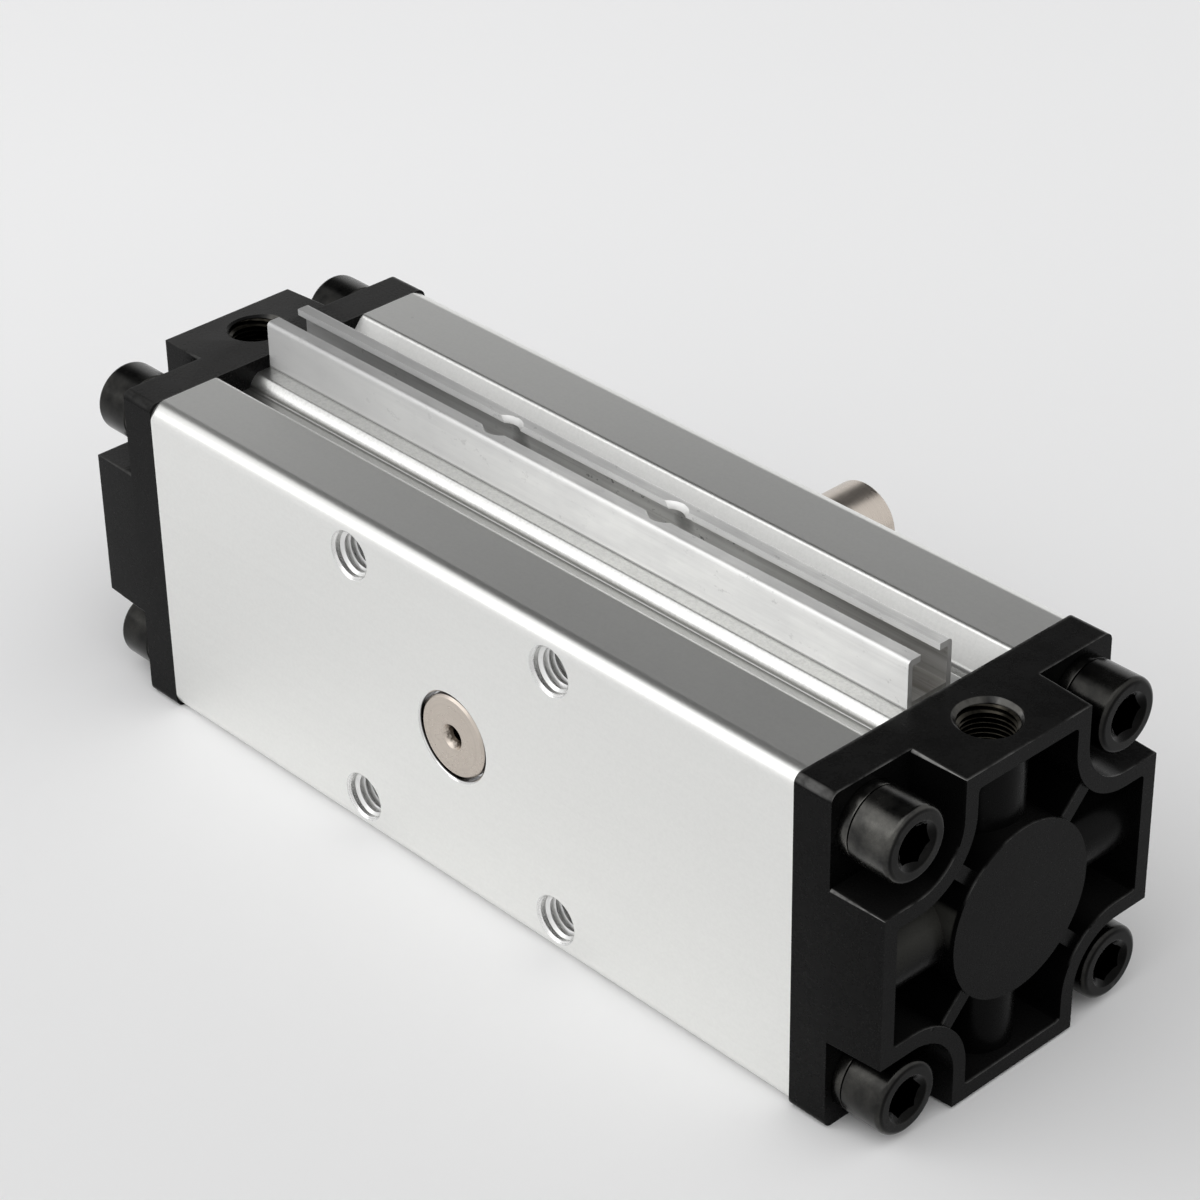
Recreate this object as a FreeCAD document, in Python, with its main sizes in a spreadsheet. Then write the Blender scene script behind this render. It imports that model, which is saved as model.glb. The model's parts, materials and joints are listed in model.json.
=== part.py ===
import FreeCAD, Part
import math
import os
import Sketcher
from FreeCAD import Vector, Placement, Rotation

# Rack and pinion rotary actuator, 180 degree swing, millimetres.
# X runs along the cylinder, +Y is the output shaft side, +Z is up and carries
# the switch rail. The origin is the centre of the bottom face.

doc = FreeCAD.newDocument("rotary_actuator")
sheet = doc.addObject("Spreadsheet::Sheet", "dims")

SIZES = [
    # extruded body
    ("body_side", 62.0), ("body_len", 153.0), ("edge_round", 3.1), ("bore_rad", 25.0),
    ("axis_height", 31.0), ("groove_half", 16.4), ("groove_floor", 57.2), ("seat_half", 7.5),
    ("seat_height", 59.6),
    # mounting holes and cover screws
    ("mount_pitch", 48.0), ("mount_rad", 4.0), ("mount_depth", 12.0), ("mount_mouth", 4.5),
    ("screw_off", 23.5), ("screw_rad", 3.95), ("screw_len", 25.0), ("tapped_rad", 4.0),
    ("tapped_depth", 20.0), ("head_rad", 6.4), ("head_tall", 8.0), ("hex_flats", 6.0),
    ("hex_depth", 4.2), ("washer_rad", 6.35), ("washer_hole", 4.2), ("washer_thick", 2.0),
    # end covers
    ("plate_thick", 7.5), ("cover_thick", 18.0), ("arm_half", 14.4), ("arm_round", 0.6), ("plate_round", 1.6),
    ("draft_deg", 3.0), ("rim_wall", 3.3), ("pocket_depth", 12.5), ("disc_rad", 15.1),
    ("spoke_rad", 6.2), ("spoke_in", 9.8), ("rib_wide", 2.5), ("rib_low", 1.0),
    ("spigot_rad", 24.9), ("spigot_tall", 2.0), ("clear_rad", 4.5), ("port_rad", 4.86),
    ("port_mouth", 5.6), ("port_depth", 10.0), ("air_rad", 2.5), ("air_height", 53.0),
    ("oring_in", 25.75), ("oring_out", 27.45), ("oring_thick", 1.4),
    # switch rail
    ("rail_len", 151.0), ("rail_wide", 9.6), ("rail_tall", 8.8), ("rail_wall", 1.0),
    ("rail_floor", 1.2), ("lip_reach", 2.7), ("lip_thick", 1.2), ("rail_round", 0.8), ("notch_rad", 3.45),
    ("notch_pitch", 39.0), ("rail_screw_rad", 1.45), ("rail_head_rad", 2.75),
    # shaft and pinion
    ("shaft_rad", 7.5), ("shaft_tail", 30.9), ("shaft_end", 67.0), ("shoulder_rad", 8.7),
    ("tail_hole_rad", 8.0), ("key_wide", 5.0), ("key_depth", 3.0), ("key_long", 25.0),
    ("key_turn", 22.5),
    ("gear_module", 1.5), ("gear_teeth", 14.0), ("gear_shift", 0.3), ("gear_face", 18.0),
    ("tooth_slack", 0.06),
    # ball bearings
    ("race_rad", 14.0), ("race_wide", 7.0), ("ball_rad", 2.0), ("ball_circle", 10.75),
    ("ball_count", 11.0), ("inner_land", 9.4), ("outer_land", 12.1), ("track_rad", 2.04),
    ("tail_race_y", -29.5), ("output_race_y", 21.0),
    # bearing retainer and seal
    ("flange_rad", 22.0), ("flange_thick", 3.0), ("pilot_rad", 12.5), ("pilot_tall", 2.5),
    ("seal_rad", 10.5), ("seal_wide", 3.4), ("small_circle", 18.0), ("small_rad", 1.95),
    # rack, pistons and rings
    ("rack_half", 8.0), ("rack_low", 9.5), ("rack_reach", 43.5), ("piston_rad", 24.8),
    ("piston_face", 57.5), ("piston_wide", 18.0), ("ring_rad", 24.94), ("slider_rad", 24.92),
    ("join_height", 14.6), ("join_rad", 2.45),
]
for i, (alias, value) in enumerate(SIZES, start=1):
    sheet.set("A%d" % i, alias)
    sheet.set("B%d" % i, repr(value))
    sheet.setAlias("B%d" % i, alias)
doc.recompute()


class Dim:
    """A sheet size, or a sum or product of sheet sizes, with its expression."""

    def __init__(self, v, e):
        self.v, self.e = float(v), e

    def __add__(self, o):
        o = dim(o)
        return Dim(self.v + o.v, "(%s + %s)" % (self.e, o.e))

    __radd__ = __add__

    def __sub__(self, o):
        o = dim(o)
        return Dim(self.v - o.v, "(%s - %s)" % (self.e, o.e))

    def __rsub__(self, o):
        return dim(o) - self

    def __mul__(self, o):
        o = dim(o)
        return Dim(self.v * o.v, "(%s * %s)" % (self.e, o.e))

    __rmul__ = __mul__

    def __truediv__(self, o):
        o = dim(o)
        return Dim(self.v / o.v, "(%s / %s)" % (self.e, o.e))

    def __neg__(self):
        return Dim(-self.v, "(-1 * %s)" % self.e)


def dim(x):
    return x if isinstance(x, Dim) else Dim(x, "%.6f" % float(x))


def S(alias):
    return Dim(float(sheet.get(alias)), "dims." + alias)


def bind(obj, prop, size):
    obj.setExpression(prop, dim(size).e)


TURN = {
    "x": Rotation(Vector(0, 1, 0), 90),
    "y": Rotation(Vector(1, 0, 0), -90),
    "z": Rotation(),
    "-y": Rotation(Vector(1, 0, 0), 90),
    "-x": Rotation(Vector(0, 1, 0), -90),
}


def place(obj, x, y, z, turn=None):
    obj.Placement = Placement(Vector(dim(x).v, dim(y).v, dim(z).v), turn or Rotation())
    for axis, size in (("x", x), ("y", y), ("z", z)):
        bind(obj, "Placement.Base." + axis, size)
    return obj


def box(name, lx, ly, lz, x, y, z):
    o = doc.addObject("Part::Box", name)
    bind(o, "Length", lx)
    bind(o, "Width", ly)
    bind(o, "Height", lz)
    return place(o, x, y, z)


def rod(name, r, length, x, y, z, axis):
    o = doc.addObject("Part::Cylinder", name)
    bind(o, "Radius", r)
    bind(o, "Height", length)
    return place(o, x, y, z, TURN[axis])


def cone(name, r_from, r_to, length, x, y, z, axis):
    o = doc.addObject("Part::Cone", name)
    bind(o, "Radius1", r_from)
    bind(o, "Radius2", r_to)
    bind(o, "Height", length)
    return place(o, x, y, z, TURN[axis])


def fuse(name, shapes):
    o = doc.addObject("Part::MultiFuse", name)
    o.Shapes = shapes
    return o


def common(name, shapes):
    o = doc.addObject("Part::MultiCommon", name)
    o.Shapes = shapes
    return o


def cut(name, base, tools):
    o = doc.addObject("Part::Cut", name)
    o.Base = base
    o.Tool = tools[0] if len(tools) == 1 else fuse(name + "_cuts", tools)
    return o


def new_body(name):
    return doc.addObject("PartDesign::Body", name)


def new_sketch(body, name, role, offset=0):
    sk = body.newObject("Sketcher::SketchObject", name)
    plane = [f for f in body.Origin.OriginFeatures if f.Role == role][0]
    sk.AttachmentSupport = [(plane, "")]
    sk.MapMode = "FlatFace"
    sk.AttachmentOffset = Placement(Vector(0, 0, dim(offset).v), Rotation())
    bind(sk, "AttachmentOffset.Base.z", offset)
    return sk


def fix_point(sk, geo, pos, x, y):
    for kind, size, on_axis in (("DistanceX", dim(x), -2), ("DistanceY", dim(y), -1)):
        if abs(size.v) < 1e-9:
            sk.addConstraint(Sketcher.Constraint("PointOnObject", geo, pos, on_axis))
        elif size.v > 0:
            n = sk.addConstraint(Sketcher.Constraint(kind, -1, 1, geo, pos, size.v))
            sk.setExpression("Constraints[%d]" % n, size.e)
        else:
            n = sk.addConstraint(Sketcher.Constraint(kind, geo, pos, -1, 1, -size.v))
            sk.setExpression("Constraints[%d]" % n, (-size).e)


def draw_circle(sk, x, y, r):
    g = sk.addGeometry(Part.Circle(Vector(dim(x).v, dim(y).v, 0), Vector(0, 0, 1), dim(r).v))
    fix_point(sk, g, 3, x, y)
    n = sk.addConstraint(Sketcher.Constraint("Radius", g, dim(r).v))
    sk.setExpression("Constraints[%d]" % n, dim(r).e)


def draw_loop(sk, path):
    """Closed outline. Each entry is (x, y) for a straight side to the next
    point, or (x, y, r) for an arc of radius r: positive turns left."""
    ends = []
    count = len(path)
    for i, p in enumerate(path):
        q = path[(i + 1) % count]
        a = Vector(dim(p[0]).v, dim(p[1]).v, 0)
        b = Vector(dim(q[0]).v, dim(q[1]).v, 0)
        if len(p) == 2:
            g = sk.addGeometry(Part.LineSegment(a, b))
            ends.append((g, 1, 2))
        else:
            r = dim(p[2]).v
            half = (b - a).Length / 2.0
            mid = (a + b) * 0.5
            side = Vector(-(b.y - a.y), b.x - a.x, 0)
            side.normalize()
            rise = math.sqrt(max(r * r - half * half, 0.0))
            c = mid + side * (rise if r > 0 else -rise)
            first, last = (a, b) if r > 0 else (b, a)
            t0 = math.atan2(first.y - c.y, first.x - c.x)
            t1 = math.atan2(last.y - c.y, last.x - c.x)
            if t1 <= t0:
                t1 += 2 * math.pi
            g = sk.addGeometry(Part.ArcOfCircle(Part.Circle(c, Vector(0, 0, 1), abs(r)), t0, t1))
            ends.append((g, 1, 2) if r > 0 else (g, 2, 1))
    for i, (g, s, e) in enumerate(ends):
        n, ns, ne = ends[(i + 1) % count]
        sk.addConstraint(Sketcher.Constraint("Coincident", g, e, n, ns))
    for i, p in enumerate(path):
        g, s, e = ends[i]
        fix_point(sk, g, s, p[0], p[1])
        if len(p) == 3:
            r = dim(p[2])
            n = sk.addConstraint(Sketcher.Constraint("Radius", g, abs(r.v)))
            sk.setExpression("Constraints[%d]" % n, r.e if r.v > 0 else (-r).e)


def pad(body, name, sk, length, taper=None):
    o = body.newObject("PartDesign::Pad", name)
    o.Profile = sk
    bind(o, "Length", length)
    if taper is not None:
        bind(o, "TaperAngle", -dim(taper))
    return o


def pocket(body, name, sk, length):
    o = body.newObject("PartDesign::Pocket", name)
    o.Profile = sk
    bind(o, "Length", length)
    return o


def turned(name, axis, path, at, extra=None):
    """Turned piece: path is (along the axis, radius[, arc])."""
    body = new_body(name)
    sk = new_sketch(body, name + "_profile", "XY_Plane")
    if axis == "x":
        draw_loop(sk, path)
    else:
        flipped = [(p[1], p[0]) if len(p) == 2 else (p[1], p[0], -dim(p[2])) for p in path]
        draw_loop(sk, flipped)
    rev = body.newObject("PartDesign::Revolution", name + "_turn")
    rev.Profile = sk
    rev.ReferenceAxis = (sk, ["H_Axis" if axis == "x" else "V_Axis"])
    rev.Angle = 360.0
    place(body, *at)
    return body


def hexagon(flats, start=0.0):
    r = dim(flats) / math.sqrt(3.0)
    return [(r * math.cos(math.radians(start + 60 * k)), r * math.sin(math.radians(start + 60 * k)))
            for k in range(6)]


nodes = {}


def node(label, obj):
    nodes[label] = obj
    return obj


def copies(label, source, spots):
    """Separate copies of one piece, each at its own placement."""
    o = doc.addObject("Part::Feature", label)
    shapes = []
    for spot in spots:
        s = source.Shape.copy()
        s.Placement = spot.multiply(s.Placement)
        shapes.append(s)
    o.Shape = Part.makeCompound(shapes)
    o.Placement = Placement()
    return node(label, o)


side, length = S("body_side"), S("body_len")
half, end = side / 2, length / 2
mid_z = S("axis_height")
edge = S("edge_round")

# ---------------------------------------------------------------- body
# Square extrusion with rounded edges, round bore and a long groove on top.
# The groove has sloping sides with rounded top edges, a gutter each side and a
# raised rail seat with gently crowned shoulders.
body = new_body("body_extrusion")
sk = new_sketch(body, "body_section", "YZ_Plane", -end)
gw, gf, sh, sz = S("groove_half"), S("groove_floor"), S("seat_half"), S("seat_height")
right_half = [
    (gw + 0.5, side, 1.065), (gw - 0.319, side - 0.385), (gw - 3.4, gf + 0.7, -1.5), (gw - 4.7, gf),
    (sh + 2.3, gf, -0.4), (sh + 1.9, gf + 0.4), (sh + 1.9, sz - 1.9, 4.0), (sh, sz),
]
section = [(half - edge, 0, edge), (half, edge), (half, side - edge, edge), (half - edge, side)]
section += right_half
section += [(-sh, sz, 4.0), (-sh - 1.9, sz - 1.9), (-sh - 1.9, gf + 0.4, -0.4), (-sh - 2.3, gf),
            (-gw + 4.7, gf, -1.5), (-gw + 3.4, gf + 0.7), (-gw + 0.319, side - 0.385, 1.065),
            (-gw - 0.5, side), (-half + edge, side, edge), (-half, side - edge), (-half, edge, edge),
            (-half + edge, 0)]
draw_loop(sk, section)
draw_circle(sk, 0, mid_z, S("bore_rad"))
pad(body, "body_length", sk, length)

cuts = []
mp, mr, md = S("mount_pitch") / 2, S("mount_rad"), S("mount_depth")
for sx in (-1, 1):
    for sz_ in (-1, 1):
        tag = ("r" if sx > 0 else "l") + ("t" if sz_ > 0 else "b")
        hx, hz = mp * sx, mid_z + mp * sz_
        for face, sy, turn in (("front", -1, "y"), ("back", 1, "-y")):
            cuts.append(rod("hole_%s_%s" % (face, tag), mr, md, hx, half * sy, hz, turn))
            cuts.append(cone("mouth_%s_%s" % (face, tag), S("mount_mouth"), mr, S("mount_mouth") - mr,
                             hx, half * sy, hz, turn))
            cuts.append(cone("tip_%s_%s" % (face, tag), mr, 0.2, 2.2, hx, (half - md) * sy, hz, turn))
        # cover screw holes in the two end faces, seen along X
        for xs, turn in ((-1, "x"), (1, "-x")):
            cuts.append(rod("tap_%s_%d" % (tag, xs + 1), S("tapped_rad"), S("tapped_depth"),
                            end * xs, S("screw_off") * sx, mid_z + S("screw_off") * sz_, turn))
# cross bore for the shaft: bearing seat, tail hole and retainer recess
ro = S("race_rad")
cuts.append(rod("seat_tail", ro, -S("tail_race_y"), 0, S("tail_race_y"), mid_z, "y"))
cuts.append(rod("seat_output", ro, half, 0, 0, mid_z, "y"))
cuts.append(rod("tail_hole", S("tail_hole_rad"), 4, 0, -half - 1, mid_z, "y"))
cuts.append(cone("tail_mouth", S("tail_hole_rad") + 0.35, S("tail_hole_rad"), 0.35, 0, -half, mid_z, "y"))
cuts.append(rod("flange_recess", S("flange_rad") + 0.1, S("flange_thick"), 0,
                half - S("flange_thick"), mid_z, "y"))
for k in range(4):
    a = math.radians(45 + 90 * k)
    cuts.append(rod("small_tap_%d" % k, 2.0, 5.4, S("small_circle") * math.cos(a),
                    half - S("flange_thick") - 5.4, mid_z + S("small_circle") * math.sin(a), "y"))
rail_x = -end + S("rail_len") / 2
for k, sx in enumerate((-1, 1)):
    cuts.append(rod("rail_tap_%d" % k, 1.5, 2.8, rail_x + S("notch_pitch") / 2 * sx, 0,
                    S("seat_height") - 2.8, "z"))
node("cylinder_body", cut("cylinder_body", body, cuts))

# ---------------------------------------------------------------- end covers
# Flush plate, then a plus-shaped block with drafted sides whose inner corners
# follow the screw heads. Inside the rim are open pockets around a flat disc,
# four half-round spokes and four diagonal ribs; the top spoke is the air port.
pt, ct = S("plate_thick"), S("cover_thick")
arm, rim, off = S("arm_half"), S("rim_wall"), S("screw_off")
ar = S("arm_round")
turn_r = off - arm


def plus_outline(reach, arm_w, bend, corner):
    """Plus-shaped outline with concave quarter turns round the four screws."""
    path = []
    quarter = [(reach, arm_w - corner, corner), (reach - corner, arm_w), (off, arm_w, -bend),
               (arm_w, off), (arm_w, reach - corner, corner), (arm_w - corner, reach)]
    for k in range(4):
        for p in quarter:
            x, y = dim(p[0]), dim(p[1])
            for _ in range(k):
                x, y = -y, x
            path.append((x, y) if len(p) == 2 else (x, y, p[2]))
    return path


def make_cover(label, facing):
    n = label + "_"
    plate = new_body(n + "plate")
    sk = new_sketch(plate, n + "outline", "YZ_Plane", end)
    e = S("plate_round")
    draw_loop(sk, [(half - e, -half, e), (half, -half + e), (half, half - e, e), (half - e, half),
                   (-half + e, half, e), (-half, half - e), (-half, -half + e, e), (-half + e, -half)])
    pad(plate, n + "flange", sk, pt)
    sk = new_sketch(plate, n + "plus", "YZ_Plane", end + pt)
    draw_loop(sk, plus_outline(half, arm, turn_r, ar))
    pad(plate, n + "block", sk, ct - pt, S("draft_deg"))
    sk = new_sketch(plate, n + "hollow", "YZ_Plane", end + ct)
    draw_loop(sk, plus_outline(half - rim, arm - rim, turn_r + rim, 0.8))
    pocket(plate, n + "pockets", sk, S("pocket_depth"))
    place(plate, 0, 0, mid_z)

    floor_x = end + ct - S("pocket_depth") - 0.5
    adds = [plate,
            rod(n + "disc", S("disc_rad"), S("pocket_depth") + 0.5, floor_x, 0, mid_z, "x"),
            rod(n + "spigot", S("spigot_rad"), S("spigot_tall") + 0.5, end - S("spigot_tall"), 0, mid_z, "x")]
    spoke_len = half - rim / 2
    spoke_x = end + S("spoke_in")
    adds.append(rod(n + "spoke_up", S("spoke_rad"), spoke_len, spoke_x, 0, mid_z, "z"))
    down = rod(n + "spoke_down", S("spoke_rad"), spoke_len, spoke_x, 0, rim / 2, "z")
    adds.append(down)
    adds.append(rod(n + "spoke_back", S("spoke_rad"), spoke_len, spoke_x, 0, mid_z, "y"))
    adds.append(rod(n + "spoke_front", S("spoke_rad"), spoke_len, spoke_x, 0, mid_z, "-y"))
    rib_len = off * math.sqrt(2.0) - turn_r - rim / 2
    for k in range(4):
        r = doc.addObject("Part::Box", n + "rib_%d" % k)
        bind(r, "Length", rib_len)
        bind(r, "Width", S("rib_wide"))
        bind(r, "Height", S("pocket_depth") - S("rib_low") + 0.5)
        a = 45 + 90 * k
        turn = Rotation(Vector(1, 0, 0), a).multiply(Rotation(Vector(0, 1, 0), Vector(0, 0, 1), Vector(1, 0, 0), "XYZ"))
        c, s_ = math.cos(math.radians(a)), math.sin(math.radians(a))
        place(r, floor_x, S("rib_wide") / 2 * s_, mid_z - S("rib_wide") / 2 * c, turn)
        adds.append(r)
    whole = fuse(n + "casting", adds)
    whole.Refine = True

    takes = [rod(n + "port", S("port_rad"), S("port_depth"), spoke_x, 0, side - S("port_depth"), "z"),
             cone(n + "port_mouth", S("port_rad"), S("port_mouth"), S("port_mouth") - S("port_rad"),
                  spoke_x, 0, side - (S("port_mouth") - S("port_rad")), "z"),
             rod(n + "air_way", S("air_rad"), S("spoke_in") + S("spigot_tall") + 1,
                 end - S("spigot_tall") - 1, 0, S("air_height"), "x")]
    ring = cut(n + "ring_groove",
               rod(n + "groove_outer", S("oring_out") + 0.05, S("oring_thick") + 0.05, end, 0, mid_z, "x"),
               [rod(n + "groove_inner", S("oring_in") - 0.05, S("oring_thick") + 1, end - 0.5, 0, mid_z, "x")])
    takes.append(ring)
    for sy in (-1, 1):
        for s2 in (-1, 1):
            takes.append(rod(n + "clear_%d%d" % (sy + 1, s2 + 1), S("clear_rad"), pt + 2, end - 1,
                             off * sy, mid_z + off * s2, "x"))
    cover = cut(label, whole, takes)
    cover.Placement = Placement(Vector(), Rotation(Vector(0, 0, 1), 0 if facing > 0 else 180))
    return node(label, cover)


for label, facing in (("end_cover_right", 1), ("end_cover_left", -1)):
    make_cover(label, facing)

# sealing rings between covers and body
for label, s_ in (("cover_o_ring_right", 1), ("cover_o_ring_left", -1)):
    x0 = 0 if s_ > 0 else -S("oring_thick")
    node(label, turned(label, "x", [(x0, S("oring_in")), (x0 + S("oring_thick"), S("oring_in")),
                                    (x0 + S("oring_thick"), S("oring_out")), (x0, S("oring_out"))],
                       (end * s_, 0, mid_z)))

# ---------------------------------------------------------------- cover screws
hr, ht, sr, sl = S("head_rad"), S("head_tall"), S("screw_rad"), S("screw_len")
screw = turned("cap_screw", "x", [
    (-sl, 0), (ht, 0), (ht, hr - 1.0), (ht - 0.25, hr - 0.45, 0.9), (ht - 1.0, hr), (0.3, hr), (0, hr - 0.3),
    (0, sr), (-sl + 0.8, sr), (-sl, sr - 0.8)], (0, 0, 0))
sk = new_sketch(screw, "cap_hex", "YZ_Plane", ht)
draw_loop(sk, hexagon(S("hex_flats"), 90))
pocket(screw, "cap_socket", sk, S("hex_depth"))
cap = cut("cap_screw_whole", screw, [cone("cap_socket_mouth", 3.1, 4.2, 0.8, ht - 0.8, 0, 0, "x")])

wash = cut("washer_ring", rod("washer_outer", S("washer_rad"), S("washer_thick"), 0, 0, 0, "x"),
           [rod("washer_inner", S("washer_hole"), S("washer_thick") + 2, -1, 0, 0, "x"),
            box("washer_split", S("washer_thick") + 2, 1.1, S("washer_rad") + 2, -1, -0.55, 0)])
doc.recompute()

seat_x = end + pt
for label, s_ in (("right", 1), ("left", -1)):
    head_spots, wash_spots = [], []
    flip = Rotation(Vector(0, 0, 1), 0 if s_ > 0 else 180)
    k = 0
    for sy in (-1, 1):
        for s2 in (-1, 1):
            k += 1
            y, z = off.v * sy, mid_z.v + off.v * s2
            twist = Rotation(Vector(1, 0, 0), 37.0 * k + (120 if s_ > 0 else 133))
            head_spots.append(Placement(Vector((seat_x.v + S("washer_thick").v) * s_, y, z), flip.multiply(twist)))
            wash_spots.append(Placement(Vector(seat_x.v * s_, y, z), flip.multiply(twist)))
    copies("cover_screws_" + label, cap, head_spots)
    copies("spring_washers_" + label, wash, wash_spots)

# ---------------------------------------------------------------- switch rail
rw, rt, wall, fl = S("rail_wide") / 2, S("rail_tall"), S("rail_wall"), S("rail_floor")
lr, lt = S("lip_reach"), S("lip_thick")
# Lipped channel; the lips are opened with a taper where the two fixing screws go in.
rail = new_body("rail_channel")
sk = new_sketch(rail, "rail_section", "YZ_Plane", -end)
rr = S("rail_round")
draw_loop(sk, [(-rw, 0), (rw, 0), (rw, rt - rr, 0.8), (rw - rr, rt), (rw - lr, rt), (rw - lr, rt - lt),
               (rw - wall, rt - lt), (rw - wall, fl), (-rw + wall, fl), (-rw + wall, rt - lt),
               (-rw + lr, rt - lt), (-rw + lr, rt), (-rw + rr, rt, 0.8), (-rw, rt - rr)])
pad(rail, "rail_length", sk, S("rail_len"))
sk = new_sketch(rail, "rail_holes", "XY_Plane", fl)
for sx in (-1, 1):
    draw_circle(sk, rail_x + S("notch_pitch") / 2 * sx, 0, 1.6)
pocket(rail, "rail_screw_holes", sk, fl)
place(rail, 0, 0, S("seat_height"))
top_z = S("seat_height") + rt
node("switch_rail", cut("switch_rail", rail, [
    cone("rail_notch_%d" % (sx + 1), S("notch_rad") - 0.7, S("notch_rad") + 0.05, lt + 0.3,
         rail_x + S("notch_pitch") / 2 * sx, 0, top_z - lt - 0.2, "z") for sx in (-1, 1)]))

small_head = turned("pan_screw", "y", [
    (-3.6, 0), (1.9, 0), (1.9, 0.9), (1.25, 2.35, 2.4), (0.6, S("rail_head_rad")), (0, S("rail_head_rad")),
    (0, S("rail_screw_rad")), (-3.3, S("rail_screw_rad")), (-3.6, S("rail_screw_rad") - 0.3)], (0, 0, 0))
pan = cut("pan_screw_whole", small_head, [
    box("pan_slot_a", 3.0, 1.4, 0.75, -1.5, 0.7, -0.375), box("pan_slot_b", 0.75, 1.4, 3.0, -0.375, 0.7, -1.5)])
doc.recompute()
stand = Rotation(Vector(1, 0, 0), 90)
copies("rail_screws", pan, [
    Placement(Vector((rail_x + S("notch_pitch") / 2 * sx).v, 0, (S("seat_height") + fl).v),
              stand.multiply(Rotation(Vector(0, 1, 0), 20 * sx))) for sx in (-1, 1)])

# ---------------------------------------------------------------- pinion shaft
# Turned shaft with a keyway underneath; the pinion is cut on the shaft.
r_s, r_sh = S("shaft_rad"), S("shoulder_rad")
tail, tip = -S("shaft_tail"), S("shaft_end")
t_in = S("tail_race_y") + S("race_wide")
o_in = S("output_race_y")
# shallow grinding relief just outside the locating boss
relief = half + S("pilot_tall") + 0.2
shaft = turned("shaft_blank", "y", [
    (tail + 6, 0), (tip - 8, 0), (tip - 7, 1.25), (tip - 2.2, 1.25), (tip, 2.5), (tip, r_s - 0.8),
    (tip - 0.8, r_s), (relief + 0.8, r_s), (relief + 0.8, r_s - 0.25), (relief, r_s - 0.25), (relief, r_s),
    (o_in, r_s), (o_in, r_sh), (t_in, r_sh), (t_in, r_s), (tail + 0.4, r_s),
    (tail, r_s - 0.4), (tail, 2.3), (tail + 1.4, 1.35), (tail + 5.2, 1.35)], (0, 0, mid_z))
gm, gn, gx = S("gear_module").v, int(S("gear_teeth").v), S("gear_shift").v
pitch_r = gm * gn / 2
base_r = pitch_r * math.cos(math.radians(20))
tip_r = pitch_r + gm * (1 + gx) - 0.05
root_r = pitch_r - gm * (1.25 - gx)
inv = lambda a: math.tan(a) - a
thick = gm * (math.pi / 2 + 2 * gx * math.tan(math.radians(20))) - S("tooth_slack").v
half_at_pitch = thick / (2 * pitch_r)


def flank_angle(r):
    a = math.acos(min(1.0, base_r / r))
    return half_at_pitch + inv(math.radians(20)) - inv(a)


def polar(r, t, y=0.0):
    return Vector(r * math.sin(t), y, -r * math.cos(t))


edges = []
steps = 9
low_r = base_r + 0.01
root_t = flank_angle(low_r) - 0.004
for k in range(gn):
    c = 2 * math.pi * k / gn
    radii = [low_r + (tip_r - low_r) * j / (steps - 1) for j in range(steps)]
    left = [polar(r, c - flank_angle(r)) for r in radii]
    right = [polar(r, c + flank_angle(r)) for r in reversed(radii)]
    foot_l, foot_r = polar(root_r, c - root_t), polar(root_r, c + root_t)
    edges.append(Part.LineSegment(foot_l, left[0]).toShape())
    for pts in (left, None, right):
        if pts is None:
            edges.append(Part.Arc(left[-1], polar(tip_r, c), right[0]).toShape())
        else:
            curve = Part.BSplineCurve()
            curve.interpolate(pts)
            edges.append(curve.toShape())
    edges.append(Part.LineSegment(right[-1], foot_r).toShape())
    nxt = c + 2 * math.pi / gn
    edges.append(Part.Arc(foot_r, polar(root_r, c + math.pi / gn), polar(root_r, nxt - root_t)).toShape())
outline = Part.Wire(Part.__sortEdges__(edges))
gear_shape = Part.Face(outline).extrude(Vector(0, S("gear_face").v, 0))
gear = doc.addObject("Part::Feature", "pinion_teeth")
gear.Shape = gear_shape
gear.Placement = Placement(Vector(0, -S("gear_face").v / 2, mid_z.v), Rotation())
joined = fuse("shaft_with_teeth", [shaft, gear])
kw, kd, kl = S("key_wide"), S("key_depth"), S("key_long")
key_y = tip - 3 - kl
key_low = -r_s - 2
key = fuse("keyway", [box("keyway_mid", kw, kl - kw, kd + 2, -kw / 2, key_y + kw / 2, key_low),
                      rod("keyway_end_a", kw / 2, kd + 2, 0, key_y + kw / 2, key_low, "z"),
                      rod("keyway_end_b", kw / 2, kd + 2, 0, key_y + kl - kw / 2, key_low, "z")])
# at mid swing the keyway looks down, a little towards the right cover
place(key, 0, 0, mid_z, Rotation(Vector(0, -1, 0), S("key_turn").v))
key.setExpression("Placement.Rotation.Angle", "dims.key_turn * 1 deg")
node("pinion_shaft", cut("pinion_shaft", joined, [key]))

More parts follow.
